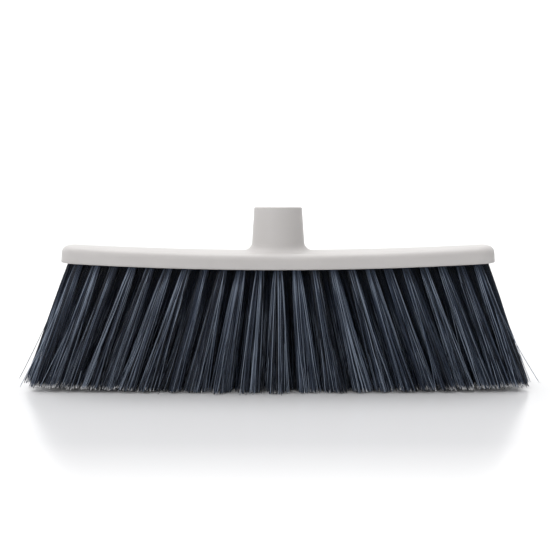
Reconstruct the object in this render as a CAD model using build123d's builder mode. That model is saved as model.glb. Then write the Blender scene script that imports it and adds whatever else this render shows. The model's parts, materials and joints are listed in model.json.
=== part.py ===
"""Household broom head: a moulded block with a threaded handle socket, drilled for
tufts of bristle that are each folded over a flat metal anchor.

Frame: X along the block, Y across it (the front is -Y), +Z up the handle socket.
The origin is on the floor under the socket. Every length is in millimetres.
"""

import math
import os

from build123d import *

# Overall sizes
block_length = 298.0
block_depth = 56.0  # across the middle of the block
end_depth = 40.0  # across its ends, before the corners are rounded
corner_radius = 14.0
edge_thickness = 10.2  # underside to the edge of the crown
crown_rise = 2.0  # the crown's height over its edge
block_draft = 4.0  # degrees
block_arc_radius = 2650.0  # the block curves up towards its ends
underside_height = 81.5  # floor to underside, at the middle
top_rounding = 5.0
lip_rounding = 1.2
overcut = 1.0  # how far a cutting shape reaches past what it cuts

# Handle socket
socket_top_height = 123.5
socket_base_diameter = 36.8
socket_top_diameter = 33.0
socket_flare = 6.0
socket_rounding = 1.0
handle_hole_depth = 29.0
handle_lead_in = 1.2
thread_core_diameter = 20.4
thread_outer_diameter = 22.6
thread_pitch = 5.0
thread_root_width = 1.5
thread_mouth_width = 2.9
thread_runout = 4.0  # plain wall left at the bottom of the hole
thread_overlap = 0.3  # how far the thread's cutter starts inside the hole

# Tufts
row_names = ["front_row", "front_inner_row", "middle_row", "rear_inner_row", "rear_row"]
row_pitch = 10.2  # between rows, at the middle of the block
row_convergence = 1.3  # how closely the rows follow the bow of the edges
row_splay = 4.0  # degrees outwards for each row from the middle one
tuft_pitch = 12.3  # along a row
tufts_per_row = 23  # every other row has one more, and its tufts stand between the others
hole_radius = 2.9
hole_depth = 10.0
tuft_clearance = 0.12
tuft_gap = 0.9  # between neighbouring tufts at their tips
widest_tip_radius = 6.4
tip_allowance = 1.6  # how far past the floor two tufts still clear each other
greatest_lean = 19.8  # degrees, the outward lean that the fan comes up to
fan_width = 46.0  # how far from the middle the fan opens
end_relief = 0.11  # share of the lean that the outermost tufts lose
end_relief_power = 6  # how suddenly they lose it
trim_radius = 5500.0  # the tips are cut to flats along a shallow arc
trim_allowance = 12.0
segment_limits = {"centre": 27.0, "": 90.0, "end": 150.0}  # how far out each segment's roots reach
tip_limits = {"centre": 35.0, "": 118.0, "end": 172.0}  # and its tips

# Anchors: flat strips that pin each folded tuft in its hole
anchor_width = 6.1
anchor_thickness = 0.45
anchor_height = 3.0
anchor_depth_in_hole = 7.2  # underside to the middle of the anchor
anchor_slot_clearance = 0.1

half_length = block_length / 2
half_depth = block_depth / 2
crown_height = underside_height + edge_thickness + crown_rise
socket_foot_height = underside_height + edge_thickness / 2
root_radius = hole_radius - tuft_clearance
thread_depth = (thread_outer_diameter - thread_core_diameter) / 2


def rise(x, radius):
    """Height gained at x by an arc of this radius that is level at the middle."""
    return radius - math.sqrt(radius**2 - x**2)


def half_depth_at(x):
    """Half the block's depth at x, along its bowed front and back edges."""
    return half_depth - (half_depth - end_depth / 2) * (x / half_length) ** 2


def lean_at(x):
    """Outward lean of a tuft rooted at x, in degrees: none in the middle, most near the ends."""
    relief = 1 - end_relief * (x / half_length) ** end_relief_power
    return greatest_lean * math.tanh(x / fan_width) * relief


def tuft_frame(x, row):
    """Plane at a tuft's mouth on the underside, its Z pointing down the tuft."""
    y = row * row_pitch * (half_depth_at(x) / half_depth) ** row_convergence
    z = underside_height + rise(x, block_arc_radius)
    outward = math.tan(math.radians(lean_at(x)))
    splayed = math.tan(math.radians(row_splay * row))
    return Plane(origin=(x, y, z), x_dir=(1, 0, outward), z_dir=(outward, splayed, -1))


def tuft_positions(row):
    """Where a row's tufts stand along X."""
    count = tufts_per_row + row % 2
    return [(i - (count - 1) / 2) * tuft_pitch for i in range(count)]


def tip_radius_at(x):
    """Radius that a tuft spreads to, short of touching the next one in its row."""
    reach = underside_height + tip_allowance
    apart = []
    for step in (-tuft_pitch, tuft_pitch):
        turned = math.tan(math.radians(lean_at(x + step))) - math.tan(math.radians(lean_at(x)))
        apart.append(abs(step + reach * turned))
    room = min(apart) * math.cos(math.radians(lean_at(x)))
    return min((room - tuft_gap) / 2, widest_tip_radius)


def tuft_length_at(x):
    """Length from a tuft's mouth, along its lean, to well below the cut of its tips."""
    height = underside_height + rise(x, block_arc_radius)
    return height / math.cos(math.radians(lean_at(x))) + trim_allowance


def segment_name(x):
    """The part of a row that a tuft at x belongs to."""
    zone = next(name for name, limit in segment_limits.items() if abs(x) < limit)
    side = "left" if x < 0 else "right"
    return zone if zone == "centre" else "_".join(word for word in (side, zone) if word)


def tip_plane(segment):
    """The flat that a segment's tips are cut to, level with the floor in the middle."""
    if segment == "centre":
        return Plane.XY
    side, _, zone = segment.partition("_")
    limits = list(tip_limits.values())
    place = list(tip_limits).index(zone)
    inner, outer = limits[place - 1], limits[place]
    climb = rise(outer, trim_radius) - rise(inner, trim_radius)
    sign = -1 if side == "left" else 1
    along = Vector(sign * (outer - inner), 0, climb) * sign
    return Plane(
        origin=(sign * inner, 0, rise(inner, trim_radius)),
        x_dir=along,
        z_dir=Vector(-along.Z, 0, along.X),
    )


def row_segments(row):
    """A row's tuft positions, grouped by segment from left to right."""
    groups = {}
    for x in tuft_positions(row):
        groups.setdefault(segment_name(x), []).append(x)
    return groups


def save(piece, label):
    """Writes one finished piece to its own STEP file."""
    piece.label = label
    export_step(piece, f"parts/{label}.step")


rows = {name: index - len(row_names) // 2 for index, name in enumerate(row_names)}
all_frames = [tuft_frame(x, row) for row in rows.values() for x in tuft_positions(row)]
os.makedirs("parts", exist_ok=True)

# The block: one section carried along a shallow arc, cut to its plan, with the socket on top
with BuildPart() as broom_block:
    spine_reach = half_length + overcut
    section_reach = half_depth + overcut
    end_height = underside_height + rise(spine_reach, block_arc_radius)
    with BuildLine() as spine:
        ThreePointArc(
            (-spine_reach, 0, end_height), (0, 0, underside_height), (spine_reach, 0, end_height)
        )
    section_plane = Plane(origin=spine.line @ 0, x_dir=(0, 1, 0), z_dir=spine.line % 0)
    with BuildSketch(section_plane):
        with BuildLine():
            Polyline(
                (section_reach, edge_thickness),
                (section_reach, 0),
                (-section_reach, 0),
                (-section_reach, edge_thickness),
            )
            ThreePointArc(
                (-section_reach, edge_thickness),
                (0, edge_thickness + crown_rise),
                (section_reach, edge_thickness),
            )
        make_face()
    sweep(path=spine.line)
    with BuildSketch(Plane.XY.offset(underside_height - overcut)) as plan:
        with BuildLine():
            for side in (-1, 1):
                ThreePointArc(
                    (-half_length, side * end_depth / 2),
                    (0, side * half_depth),
                    (half_length, side * end_depth / 2),
                )
            for end in (-1, 1):
                Line((end * half_length, -end_depth / 2), (end * half_length, end_depth / 2))
        make_face()
        fillet(plan.vertices(), radius=corner_radius)
    extrude(amount=4 * edge_thickness, taper=block_draft, mode=Mode.INTERSECT)
    fillet(broom_block.faces().sort_by(Axis.Z)[-1].edges(), radius=top_rounding)
    fillet(broom_block.faces().sort_by(Axis.Z)[0].edges(), radius=lip_rounding)

    # The socket, flared where it meets the crown
    with BuildSketch(Plane.XZ):
        with BuildLine():
            Polyline(
                (0, socket_foot_height),
                (socket_base_diameter / 2, socket_foot_height),
                (socket_base_diameter / 2, crown_height),
                (socket_top_diameter / 2, socket_top_height),
                (0, socket_top_height),
                close=True,
            )
        make_face()
    revolve(axis=Axis.Z)
    foot_edges = broom_block.edges().filter_by_position(
        Axis.Z, crown_height - crown_rise, crown_height + crown_rise
    )
    foot_reach = socket_base_diameter / 2 + overcut
    fillet(
        [e for e in foot_edges if e.bounding_box().max.X < foot_reach],
        radius=socket_flare,
    )
    fillet(broom_block.faces().sort_by(Axis.Z)[-1].edges(), radius=socket_rounding)

    # The handle hole and its thread, which is cut outwards from the core diameter
    with Locations((0, 0, socket_top_height)):
        Hole(radius=thread_core_diameter / 2, depth=handle_hole_depth)
    mouth = broom_block.faces().sort_by(Axis.Z)[-1].inner_wires()[0]
    chamfer(mouth.edges(), length=handle_lead_in)
    thread_reach = handle_hole_depth - thread_runout
    thread_start = (thread_core_diameter / 2, 0, socket_top_height - thread_reach)
    with BuildLine() as thread_path:
        Helix(
            pitch=thread_pitch,
            height=thread_reach + thread_pitch / 2,
            radius=thread_core_diameter / 2,
            center=(0, 0, socket_top_height - thread_reach),
        )
    with BuildSketch(Plane(origin=thread_start, x_dir=(1, 0, 0), z_dir=(0, -1, 0))):
        with BuildLine():
            Polyline(
                (-thread_overlap, -thread_mouth_width / 2),
                (thread_depth, -thread_root_width / 2),
                (thread_depth, thread_root_width / 2),
                (-thread_overlap, thread_mouth_width / 2),
                close=True,
            )
        make_face()
    sweep(path=thread_path.line, is_frenet=True, mode=Mode.SUBTRACT)

    # One blind hole for each tuft
    for frame in all_frames:
        with Locations(frame):
            Cylinder(radius=hole_radius, height=2 * hole_depth, mode=Mode.SUBTRACT)
save(broom_block.part, "broom_block")

for name, row in rows.items():
    # The row's anchors, one across each hole
    with BuildPart() as anchors:
        for x in tuft_positions(row):
            with Locations(tuft_frame(x, row).offset(-anchor_depth_in_hole)):
                Box(anchor_width, anchor_thickness, anchor_height)
    save(anchors.part, f"{name}_anchors")

    # The row's tufts: each fills its hole, straddles its anchor and spreads to its tip
    for segment, positions in row_segments(row).items():
        with BuildPart() as tufts:
            for x in positions:
                frame = tuft_frame(x, row)
                with Locations(frame):
                    Cylinder(
                        radius=root_radius,
                        height=hole_depth - tuft_clearance,
                        align=(Align.CENTER, Align.CENTER, Align.MAX),
                    )
                    Cone(
                        bottom_radius=root_radius,
                        top_radius=tip_radius_at(x),
                        height=tuft_length_at(x),
                        align=(Align.CENTER, Align.CENTER, Align.MIN),
                    )
                with Locations(frame.offset(-anchor_depth_in_hole)):
                    Box(
                        anchor_width + anchor_slot_clearance,
                        anchor_thickness + 2 * anchor_slot_clearance,
                        anchor_height + 2 * anchor_slot_clearance,
                        mode=Mode.SUBTRACT,
                    )
            split(bisect_by=tip_plane(segment), keep=Keep.TOP)
        save(tufts.part, f"{name}_{segment}_tufts")
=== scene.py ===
import json
import math

import bmesh
import bpy
import numpy as np
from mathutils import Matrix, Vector


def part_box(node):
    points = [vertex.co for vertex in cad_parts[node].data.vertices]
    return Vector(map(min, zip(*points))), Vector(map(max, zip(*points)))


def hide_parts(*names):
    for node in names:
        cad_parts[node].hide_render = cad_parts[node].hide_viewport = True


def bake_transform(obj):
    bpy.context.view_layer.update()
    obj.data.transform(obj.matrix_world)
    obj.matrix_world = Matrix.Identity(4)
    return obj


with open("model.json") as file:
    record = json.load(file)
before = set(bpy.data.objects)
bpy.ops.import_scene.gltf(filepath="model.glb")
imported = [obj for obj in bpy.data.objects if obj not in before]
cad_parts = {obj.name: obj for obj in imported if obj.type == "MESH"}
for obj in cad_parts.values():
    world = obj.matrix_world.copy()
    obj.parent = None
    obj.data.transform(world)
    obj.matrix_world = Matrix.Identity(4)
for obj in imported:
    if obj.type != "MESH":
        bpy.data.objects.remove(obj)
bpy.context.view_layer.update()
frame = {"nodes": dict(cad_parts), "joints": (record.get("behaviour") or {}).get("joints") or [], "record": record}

# Everything is in metres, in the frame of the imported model: X along the block, -Y to the front, Z up.
# A filament's open length is what shows below the block. Shares of it run from 0 there to 1 at the tip.

# Camera
SENSOR_WIDTH = 36.0  # millimetres, as the lens is
LENS = 60.236
CAMERA_DISTANCE = 0.65
CAMERA_SIDE = 0.0013  # how far it stands to the right of the socket
CAMERA_PITCH = 4.455  # degrees down
CAMERA_CLIP = (0.01, 50)

# Filaments
SEED = 7
FILAMENTS_PER_TUFT = 100
FILAMENT_RADIUS = 0.00027
RADIUS_RANGE = (0.85, 1.15)  # from the thinnest filament to the thickest, as shares of that
TIP_THINNING = 0.72  # a filament's tip is this share of its radius
QUAD = 4  # corners of a face
SIDES = 4  # of a filament's section, so that its two ends are quads as well
GOLDEN_ANGLE = math.pi * (3 - math.sqrt(5))  # spreads points evenly over a disc

# Points along a filament
STATIONS_IN_HOLE = (0.0035, 0.0095)  # distances from the bottom of its tuft's hole
HOLE_DEPTH = 0.0099  # how much of a tuft is in its hole
OPEN_STATIONS = 8
STATION_POWER = 0.9  # below 1, it crowds the points a little towards the tip
MOUTH_STATION = 0.03  # one more close below the block, where the bundle opens fastest
PAINTED_TIP_START = 0.972  # and one where a filament's painted pale tip begins

# How a tuft opens
ROOT_SPREAD = 0.0026  # radius of the bundle where it leaves its hole
MIDDLE_TIP_SPREAD = 0.0086  # radius that it spreads to at the tips, in the middle of the block
END_TIP_SPREAD = 0.0052  # and towards its ends, where the tufts stand closer
TIP_SPREAD_ZONE = (0, 0.1)  # distances from the middle over which it changes
FLARE_POWER = 0.68  # below 1, it opens mostly near the block
TIP_FILLING_POWER = 0.75  # below 1, it fills the rim more than the core at the tips
TIP_SHARE_JITTER = 0.14
TIP_TURN_JITTER = 0.25  # radians
LOCKS_PER_TUFT = 9  # filaments cling together in locks
LOCK_PULL = (0.25, 0.65)  # share of the way that a tip is drawn to the middle of its lock
BOW = 0.0014  # how far a filament bows off its line, at its tip
BOW_POWER = 2.2
WAVE = 0.00025  # height of a filament's waves at its tip
WAVES_PER_FILAMENT = (1.0, 2.4)
STRAY_SHARE = 0.06  # filaments that stand out of their tuft
STRAY_BOW = 0.0042
STRAY_LIMIT = 0.0062

# How the tips are cut
TRIM_RADIUS = 5.5  # they lie close to an arc of this radius
FLOOR_GAP = 0.0003
RAGGEDNESS = 0.00035  # how far short of the arc a filament usually ends, in the middle of the block
RAGGEDNESS_GROWTH = 0.0045  # and how much further for each metre from there

# Shade of the filaments
SHADE_CONTRAST = 1.7
LOCK_SHADE_SHARE = 0.25  # how much of its shade a filament has in common with its lock
# Painted light: pale tips that stand for the bright floor seen between the lifted tips, most of them at the ends
PAINTED_TIP_SHARE = 0.03  # filaments with painted pale tips, in the middle of the block
END_PAINTED_TIP_SHARE = 0.6  # and at its ends
PAINTED_TIP_ZONE = (0.07, 0.15)  # distances from the middle over which it changes
# Shares of the open length, and what a filament's shade is multiplied by there. This is painted light
# and shade: the outer rows are painted darker where they leave the block and painted lighter a little
# way below it, where they catch the light, and the rows inside are painted dark near the block, as
# painted shade between them
OUTER_PAINTED_ROOT_LIGHT_AND_SHADE = ((0, 0.15, 0.4), (0.68, 1.2, 1.0))
INNER_PAINTED_ROOT_SHADE = ((0, 0.42), (0.1, 1.0))

# Reading a tuft solid
WELD_DISTANCE = 1e-6
TOP_SLICE = 0.0003  # its points within this of the highest are the bottom of its hole
TIP_SLICE = 0.9  # and its points past this share of the way from its middle to its tip are the tip

# Floor
FLOOR_REACH = 6.0
FLOOR_ROUGHNESS = 0.24
MATT_ZONE = (0.165, 0.28)  # distances to the front and back over which the polish and the painted shade fade
POLISHED_SPECULAR = 0.5
# painted shade: the floor along the object is painted darker than further away
POLISHED_PAINTED_SHADE_COLOUR = (0.59, 0.59, 0.6)
MATT_COLOUR = (0.735, 0.735, 0.735)

# Studio. A direction's height and its way back are those of its unit vector, from -1 to 1.
SEEN_STRENGTH = 1.3  # of the surroundings, as the camera sees them
WALL_LIGHT = [(0.0, (1.2,) * 3), (0.45, (1.2,) * 3), (0.7, (0.35,) * 3)]  # by height
BACK_ZONE = (-0.35, 0.1)  # ways back between which the light grows
FRONT_TO_BACK = (0.35, 1.0)  # its strength in front, and behind
LOW_ZONE = (0.04, 0.14)  # heights up to which the light is full all round, and from which it isn't
SUN_DIRECTION = (-0.08, 0.18, 1.0)
SUN_SPREAD = 60  # degrees
SUN_POWER = 3.75
FRONT_LIGHT_PLACE = (-1.5, -2.6, 1.2)
FRONT_LIGHT_AIM = (0, 0, 0.06)
FRONT_LIGHT_SIZE = 0.9
FRONT_LIGHT_POWER = 32


def solids_in(node):
    """The points of each separate solid of a CAD node, from left to right."""
    bm = bmesh.new()
    bm.from_mesh(frame["nodes"][node].data)
    bmesh.ops.remove_doubles(bm, verts=bm.verts, dist=WELD_DISTANCE)
    waiting = set(bm.verts)
    found = []
    while waiting:
        edge_of_search = [waiting.pop()]
        solid = []
        while edge_of_search:
            vert = edge_of_search.pop()
            solid.append(vert.co.copy())
            for edge in vert.link_edges:
                other = edge.other_vert(vert)
                if other in waiting:
                    waiting.remove(other)
                    edge_of_search.append(other)
        found.append(np.array(solid))
    bm.free()
    return sorted(found, key=lambda points: points[:, 0].mean())


def tuft_line(points):
    """The middles of a tuft solid's two ends: the bottom of its hole, and its tip."""
    middle = points.mean(0)
    down = np.linalg.svd(points - middle)[2][0]
    down = -down if down[2] > 0 else down
    along = (points - middle) @ down
    top = points[along < along.min() + TOP_SLICE].mean(0)
    tip = points[along > TIP_SLICE * along.max()].mean(0)
    return top, tip


def tuft_axes(top, tip):
    """Unit vectors down a tuft, across it along the row, and across it to the front or back."""
    down = (tip - top) / np.linalg.norm(tip - top)
    side = np.cross((0.0, 1.0, 0.0), down)
    side /= np.linalg.norm(side)
    return down, side, np.cross(down, side)


def heading(turn):
    """Unit vectors across a bundle, at these angles."""
    return np.stack([np.cos(turn), np.sin(turn)], -1)


def bundle_plan(tip_x, rng):
    """Each filament's place across its bundle at the root and at the tip, and the lock that it is in."""
    count = FILAMENTS_PER_TUFT
    share = np.sqrt((np.arange(count) + 0.5) / count)
    turn = np.arange(count) * GOLDEN_ANGLE + rng.uniform(0, 2 * math.pi)
    spread = np.interp(abs(tip_x), TIP_SPREAD_ZONE, (MIDDLE_TIP_SPREAD, END_TIP_SPREAD))
    tip_share = share**TIP_FILLING_POWER * rng.normal(1, TIP_SHARE_JITTER, count)
    tip_turn = turn + rng.normal(0, TIP_TURN_JITTER, count)
    roots = ROOT_SPREAD * share[:, None] * heading(turn)
    tips = spread * tip_share[:, None] * heading(tip_turn)
    lock_middles = tips[rng.choice(count, LOCKS_PER_TUFT, replace=False)]
    lock = np.argmin(np.linalg.norm(tips[:, None] - lock_middles, axis=2), 1)
    tips += (lock_middles[lock] - tips) * rng.uniform(*LOCK_PULL, (count, 1))
    return roots, tips, lock


def filament_bends(stations, rng):
    """How far each filament is off its line at each station, from its bow and its waves."""
    count = FILAMENTS_PER_TUFT
    bow = rng.normal(0, BOW, (count, 2))
    stray = rng.random(count) < STRAY_SHARE
    bow[stray] += rng.normal(0, STRAY_BOW, (stray.sum(), 2)).clip(-STRAY_LIMIT, STRAY_LIMIT)
    way = rng.uniform(0, 2 * math.pi, count)
    phase = rng.uniform(0, 2 * math.pi, count)
    waves = rng.uniform(*WAVES_PER_FILAMENT, count)
    ripple = WAVE * np.sin(phase[:, None] + stations * waves[:, None] * 2 * math.pi) * stations
    bowed = bow[:, None] * (stations**BOW_POWER)[:, None]
    return bowed + ripple[:, :, None] * heading(way)[:, None]


def open_stations():
    """Shares of its open length at which a filament has a point."""
    stations = np.linspace(0, 1, OPEN_STATIONS + 1)[1:] ** STATION_POWER
    return np.insert(stations, (0, -1), (MOUTH_STATION, PAINTED_TIP_START))


def trim(paths, tip_x, rng):
    """Stretches each path from the block down, so that it ends close to the arc of the tips."""
    ends = paths[:, -1]
    short_by = np.abs(rng.normal(0, RAGGEDNESS + RAGGEDNESS_GROWTH * abs(tip_x), len(paths)))
    wanted = ends[:, 0] ** 2 / (2 * TRIM_RADIUS) + FLOOR_GAP + short_by
    mouth = paths[:, 1:2]
    stretch = (mouth[:, 0, 2] - wanted) / (mouth[:, 0, 2] - ends[:, 2])
    paths[:, 2:] = mouth + (paths[:, 2:] - mouth) * stretch[:, None, None]


def filament_paths(top, tip, axes, rng):
    """Points along every filament of a tuft, by filament and station, the stations, and the locks."""
    length = np.linalg.norm(tip - top)
    opened = open_stations()
    stations = np.concatenate([[0, 0], opened])
    distances = np.concatenate([STATIONS_IN_HOLE, HOLE_DEPTH + opened * (length - HOLE_DEPTH)])
    roots, tips, lock = bundle_plan(tip[0], rng)
    flare = (stations**FLARE_POWER)[:, None]
    offset = roots[:, None] + (tips - roots)[:, None] * flare + filament_bends(stations, rng)
    down, side, front = axes
    paths = top + distances[:, None] * down + offset @ np.stack([side, front])
    trim(paths, tip[0], rng)
    return paths, stations, lock


def filament_shades(stations, lock, painted_root_shading, rng):
    """The shade of every filament at each station, from 0, the darkest, with painted shade and light near the
    block.
    """
    lock_shade = rng.random(LOCKS_PER_TUFT)[lock]
    own_shade = rng.random(FILAMENTS_PER_TUFT)
    mixed = LOCK_SHADE_SHARE * lock_shade + (1 - LOCK_SHADE_SHARE) * own_shade
    shade = ((mixed - 0.5) * SHADE_CONTRAST + 0.5).clip(0, 1)
    # painted shade near the block, and on the outer rows painted light a little below it
    return shade[:, None] * np.interp(stations, *painted_root_shading)


def filaments_with_painted_tips(tip_x, rng):
    """Which filaments of a tuft get a painted pale tip, a painted light."""
    share = np.interp(abs(tip_x), PAINTED_TIP_ZONE, (PAINTED_TIP_SHARE, END_PAINTED_TIP_SHARE))
    return rng.random(FILAMENTS_PER_TUFT) < share


def tubes_round(paths, axes, rng):
    """The points of a thin tube round each path, by filament, station and corner."""
    count, stations = paths.shape[:2]
    side, front = axes[1:]
    twist = rng.uniform(0, math.pi / 2, count)
    angle = twist[:, None] + np.arange(SIDES) * 2 * math.pi / SIDES
    ring = np.cos(angle)[:, :, None] * side + np.sin(angle)[:, :, None] * front
    radius = FILAMENT_RADIUS * rng.uniform(*RADIUS_RANGE, count)
    thinning = np.linspace(1, TIP_THINNING, stations)
    return paths[:, :, None] + ring[:, None] * (radius[:, None] * thinning)[:, :, None, None]


def tube_faces(count, stations, first):
    """The walls and the two ends of a number of tubes, whose points are numbered from first."""
    start = first + np.arange(count) * stations * SIDES
    ring = start[:, None, None] + np.arange(stations - 1)[:, None] * SIDES
    corner = np.arange(SIDES)
    after = (corner + 1) % SIDES
    walls = np.stack([ring + corner, ring + after, ring + SIDES + after, ring + SIDES + corner], -1)
    tops = start[:, None] + corner[::-1]
    tips = start[:, None] + (stations - 1) * SIDES + corner
    return np.concatenate([walls.reshape(-1, QUAD), tops, tips])


def mesh_of_quads(name, points, faces):
    """A mesh made of quads, shaded smooth."""
    mesh = bpy.data.meshes.new(name)
    mesh.vertices.add(len(points))
    mesh.vertices.foreach_set("co", points.astype(np.float32).ravel())
    mesh.loops.add(faces.size)
    mesh.loops.foreach_set("vertex_index", faces.astype(np.int32).ravel())
    mesh.polygons.add(len(faces))
    mesh.polygons.foreach_set("loop_start", np.arange(0, faces.size, QUAD, dtype=np.int32))
    mesh.polygons.foreach_set("use_smooth", np.ones(len(faces), bool))
    mesh.update(calc_edges=True)
    return mesh


def make_tufts(node, material, painted_root_shading, rng):
    """The filaments of every tuft in a CAD node, as one piece."""
    points, faces, shades, painted_tip_light = [], [], [], []
    for solid in solids_in(node):
        top, tip = tuft_line(solid)
        axes = tuft_axes(top, tip)
        paths, stations, lock = filament_paths(top, tip, axes, rng)
        shade = filament_shades(stations, lock, painted_root_shading, rng)
        painted_tips = np.zeros((*paths.shape[:2], SIDES))
        # painted light on the last ring of the chosen filaments
        painted_tips[filaments_with_painted_tips(tip[0], rng), -1] = 1
        faces.append(tube_faces(*paths.shape[:2], sum(len(tubes) for tubes in points)))
        points.append(tubes_round(paths, axes, rng).reshape(-1, 3))
        shades.append(np.repeat(shade.ravel(), SIDES))
        painted_tip_light.append(painted_tips.ravel())
    name = node.replace("_tufts", "_bristles")
    mesh = mesh_of_quads(name, np.concatenate(points), np.concatenate(faces))
    for attribute, values in (("shade", shades), ("painted_tip_light", painted_tip_light)):
        values = np.concatenate(values).astype(np.float32)
        mesh.attributes.new(attribute, "FLOAT", "POINT").data.foreach_set("value", values)
    mesh.materials.append(material)
    piece = bpy.data.objects.new(name, mesh)
    bpy.context.scene.collection.objects.link(piece)
    return piece


def new_material(name):
    """A material and its shader and node tree."""
    material = bpy.data.materials.new(name)
    material.use_nodes = True
    tree = material.node_tree
    return material, tree.nodes["Principled BSDF"], tree


def add_node(tree, kind, **settings):
    """A node with the given properties and input values."""
    node = tree.nodes.new(kind)
    for key, value in settings.items():
        if key in node.inputs:
            node.inputs[key].default_value = value
        else:
            setattr(node, key, value)
    return node


def ramp(tree, source, stops):
    """A colour ramp fed by a socket, with (place, colour) stops."""
    node = tree.nodes.new("ShaderNodeValToRGB")
    tree.links.new(source, node.inputs["Fac"])
    elements = node.color_ramp.elements
    while len(elements) < len(stops):
        elements.new(0.5)  # anywhere, until the loop below places it
    for element, (place, colour) in zip(elements, stops):
        element.position = place
        element.color = (*colour, 1)
    return node.outputs["Color"]


def map_range(tree, source, given, wanted):
    """A value taken from one range to another, and held at its ends."""
    node = tree.nodes.new("ShaderNodeMapRange")
    for name, value in zip(("From Min", "From Max", "To Min", "To Max"), (*given, *wanted)):
        node.inputs[name].default_value = value
    tree.links.new(source, node.inputs["Value"])
    return node.outputs["Result"]


def bristle_material():
    """Dark navy extruded filament: each one its own shade, with painted shade and light near the block, and on
    some a painted pale tip.
    """
    material, shader, tree = new_material("bristle_filament")
    shade = add_node(tree, "ShaderNodeAttribute", attribute_name="shade")
    colour = ramp(
        tree,
        shade.outputs["Fac"],
        [
            (0.0, (0.0010, 0.0030, 0.0080)),
            (0.35, (0.0074, 0.0125, 0.0262)),
            (0.6, (0.0250, 0.0360, 0.0605)),
            (0.8, (0.070, 0.090, 0.132)),
            (1.0, (0.215, 0.255, 0.325)),
        ],
    )
    # painted light: the chosen tips are painted near white
    painted_tip_light = add_node(tree, "ShaderNodeAttribute", attribute_name="painted_tip_light")
    painted_tips = add_node(tree, "ShaderNodeMix", data_type="RGBA")
    tree.links.new(painted_tip_light.outputs["Fac"], painted_tips.inputs["Factor"])
    tree.links.new(colour, painted_tips.inputs["A"])
    painted_tips.inputs["B"].default_value = (0.95, 0.95, 0.96, 1)
    tree.links.new(painted_tips.outputs["Result"], shader.inputs["Base Color"])
    shader.inputs["Roughness"].default_value = 0.32
    shader.inputs["Specular IOR Level"].default_value = 0.3
    return material


def block_material():
    """Satin moulded plastic, pale warm grey, with the faint mottle and grain of a moulding."""
    material, shader, tree = new_material("block_plastic")
    place = tree.nodes.new("ShaderNodeTexCoord")
    mottle = add_node(tree, "ShaderNodeTexNoise", Scale=38.0, Detail=3.0)
    tree.links.new(place.outputs["Object"], mottle.inputs["Vector"])
    colour = ramp(
        tree, mottle.outputs["Fac"], [(0.3, (0.445, 0.428, 0.420)), (0.7, (0.469, 0.452, 0.444))]
    )
    tree.links.new(colour, shader.inputs["Base Color"])
    roughness = map_range(tree, mottle.outputs["Fac"], (0, 1), (0.4, 0.5))
    tree.links.new(roughness, shader.inputs["Roughness"])
    shader.inputs["Specular IOR Level"].default_value = 0.25
    grain = add_node(tree, "ShaderNodeTexNoise", Scale=1400.0, Detail=2.0)
    tree.links.new(place.outputs["Object"], grain.inputs["Vector"])
    bump = add_node(tree, "ShaderNodeBump", Strength=0.12, Distance=0.00008)
    tree.links.new(grain.outputs["Fac"], bump.inputs["Height"])
    tree.links.new(bump.outputs["Normal"], shader.inputs["Normal"])
    return material


def steel_material():
    """Galvanised flat wire, with a fine mottle."""
    material, shader, tree = new_material("anchor_wire")
    place = tree.nodes.new("ShaderNodeTexCoord")
    mottle = add_node(tree, "ShaderNodeTexNoise", Scale=900.0, Detail=2.0)
    tree.links.new(place.outputs["Object"], mottle.inputs["Vector"])
    colour = ramp(
        tree, mottle.outputs["Fac"], [(0.3, (0.42, 0.42, 0.43)), (0.7, (0.58, 0.58, 0.59))]
    )
    tree.links.new(colour, shader.inputs["Base Color"])
    shader.inputs["Metallic"].default_value = 1.0
    shader.inputs["Roughness"].default_value = 0.35
    return material


def dress(node, material):
    """Gives a CAD node that stays its own material."""
    mesh = frame["nodes"][node].data
    mesh.materials.clear()
    mesh.materials.append(material)


def floor_material():
    """Pale, polished along the object, so that it mirrors it there, and matt further away. Along the object its
    colour is also painted darker, a painted shade for the fading reflection and shadow.
    """
    material, shader, tree = new_material("floor")
    place = tree.nodes.new("ShaderNodeTexCoord")
    across = tree.nodes.new("ShaderNodeSeparateXYZ")
    tree.links.new(place.outputs["Object"], across.inputs["Vector"])
    away = add_node(tree, "ShaderNodeMath", operation="ABSOLUTE")
    tree.links.new(across.outputs["Y"], away.inputs[0])
    matt = map_range(tree, away.outputs["Value"], MATT_ZONE, (0, 1))
    specular = map_range(tree, matt, (0, 1), (POLISHED_SPECULAR, 0.0))
    tree.links.new(specular, shader.inputs["Specular IOR Level"])
    # painted shade along the object, fading to the even pale floor further away
    colour = ramp(tree, matt, [(0, POLISHED_PAINTED_SHADE_COLOUR), (1, MATT_COLOUR)])
    tree.links.new(colour, shader.inputs["Base Color"])
    shader.inputs["Roughness"].default_value = FLOOR_ROUGHNESS
    return material


def make_floor():
    """A square floor, which isn't part of the object."""
    far = FLOOR_REACH
    corners = [(-far, -far, 0), (far, -far, 0), (far, far, 0), (-far, far, 0)]
    mesh = bpy.data.meshes.new("floor")
    mesh.from_pydata(corners, [], [(0, 1, 2, 3)])
    mesh.materials.append(floor_material())
    floor = bpy.data.objects.new("floor", mesh)
    bpy.context.scene.collection.objects.link(floor)


def add_front_light():
    """A soft square light, in front of the object and to its left."""
    data = bpy.data.lights.new("front", "AREA")
    data.shape = "SQUARE"
    data.size = FRONT_LIGHT_SIZE
    data.energy = FRONT_LIGHT_POWER
    light = bpy.data.objects.new("front", data)
    light.location = FRONT_LIGHT_PLACE
    towards = Vector(FRONT_LIGHT_AIM) - Vector(FRONT_LIGHT_PLACE)
    light.rotation_euler = towards.to_track_quat("-Z", "Y").to_euler()
    bpy.context.scene.collection.objects.link(light)


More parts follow.
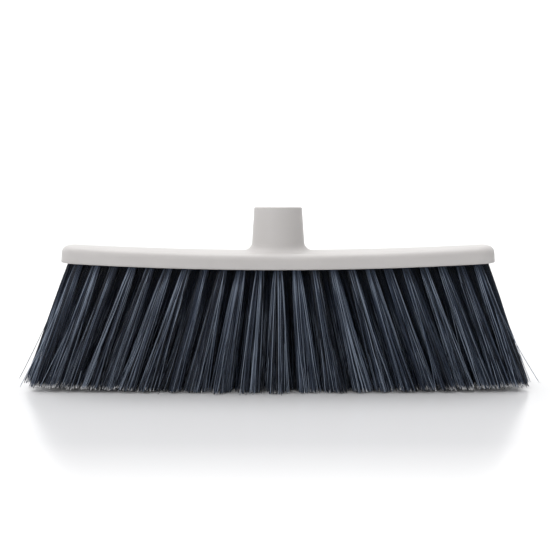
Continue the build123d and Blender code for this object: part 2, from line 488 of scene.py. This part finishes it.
def add_top_light():
    """A very soft even light from above, the same all over the floor."""
    data = bpy.data.lights.new("top", "SUN")
    data.angle = math.radians(SUN_SPREAD)
    data.energy = SUN_POWER
    light = bpy.data.objects.new("top", data)
    light.rotation_euler = Vector(SUN_DIRECTION).to_track_quat("Z", "Y").to_euler()
    bpy.context.scene.collection.objects.link(light)


def make_surroundings():
    """Plain white to the camera, and light that comes mostly from behind and low down."""
    world = bpy.data.worlds.new("studio")
    world.use_nodes = True
    tree = world.node_tree
    seen = tree.nodes["Background"]
    seen.inputs["Color"].default_value = (1, 1, 1, 1)
    seen.inputs["Strength"].default_value = SEEN_STRENGTH
    place = tree.nodes.new("ShaderNodeTexCoord")
    towards = tree.nodes.new("ShaderNodeSeparateXYZ")
    tree.links.new(place.outputs["Generated"], towards.inputs["Vector"])
    wall = ramp(tree, towards.outputs["Z"], WALL_LIGHT)
    behind = map_range(tree, towards.outputs["Y"], BACK_ZONE, FRONT_TO_BACK)
    low = map_range(tree, towards.outputs["Z"], LOW_ZONE, (1.0, 0.0))
    strength = add_node(tree, "ShaderNodeMath", operation="MAXIMUM")
    tree.links.new(behind, strength.inputs[0])
    tree.links.new(low, strength.inputs[1])
    lit = tree.nodes.new("ShaderNodeBackground")
    tree.links.new(strength.outputs["Value"], lit.inputs["Strength"])
    tree.links.new(wall, lit.inputs["Color"])
    ray = tree.nodes.new("ShaderNodeLightPath")
    either = tree.nodes.new("ShaderNodeMixShader")
    tree.links.new(ray.outputs["Is Camera Ray"], either.inputs["Fac"])
    tree.links.new(lit.outputs["Background"], either.inputs[1])
    tree.links.new(seen.outputs["Background"], either.inputs[2])
    tree.links.new(either.outputs["Shader"], tree.nodes["World Output"].inputs["Surface"])
    bpy.context.scene.world = world
    bpy.context.scene.view_settings.view_transform = "Standard"


def make_camera():
    """Level with the socket's mouth, and pitched down a little."""
    socket_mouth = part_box("broom_block")[1].z
    data = bpy.data.cameras.new("camera")
    data.sensor_width = SENSOR_WIDTH
    data.lens = LENS
    data.clip_start, data.clip_end = CAMERA_CLIP
    camera = bpy.data.objects.new("camera", data)
    camera.location = (CAMERA_SIDE, -CAMERA_DISTANCE, socket_mouth)
    camera.rotation_euler = (math.radians(90 - CAMERA_PITCH), 0, 0)
    bpy.context.scene.collection.objects.link(camera)
    bpy.context.scene.camera = camera


make_camera()
make_surroundings()
add_top_light()
add_front_light()
make_floor()

dress("broom_block", block_material())
steel = steel_material()
bristle = bristle_material()
rng = np.random.default_rng(SEED)
outermost = max(abs(joint["pos_m"][1]) for joint in frame["joints"])
for joint in frame["joints"]:
    body = joint["child"]
    row = body.removesuffix("_bristles")
    dress(f"{row}_anchors", steel)
    root = Vector(joint["pos_m"])
    # the rows inside get heavier painted shade near the block than the outer rows
    painted_root_shading = INNER_PAINTED_ROOT_SHADE if abs(root.y) < outermost else OUTER_PAINTED_ROOT_LIGHT_AND_SHADE
    for node in frame["record"]["behaviour"]["bodies"][body]:
        piece = make_tufts(node, bristle, painted_root_shading, rng)
        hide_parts(node)
        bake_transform(piece)
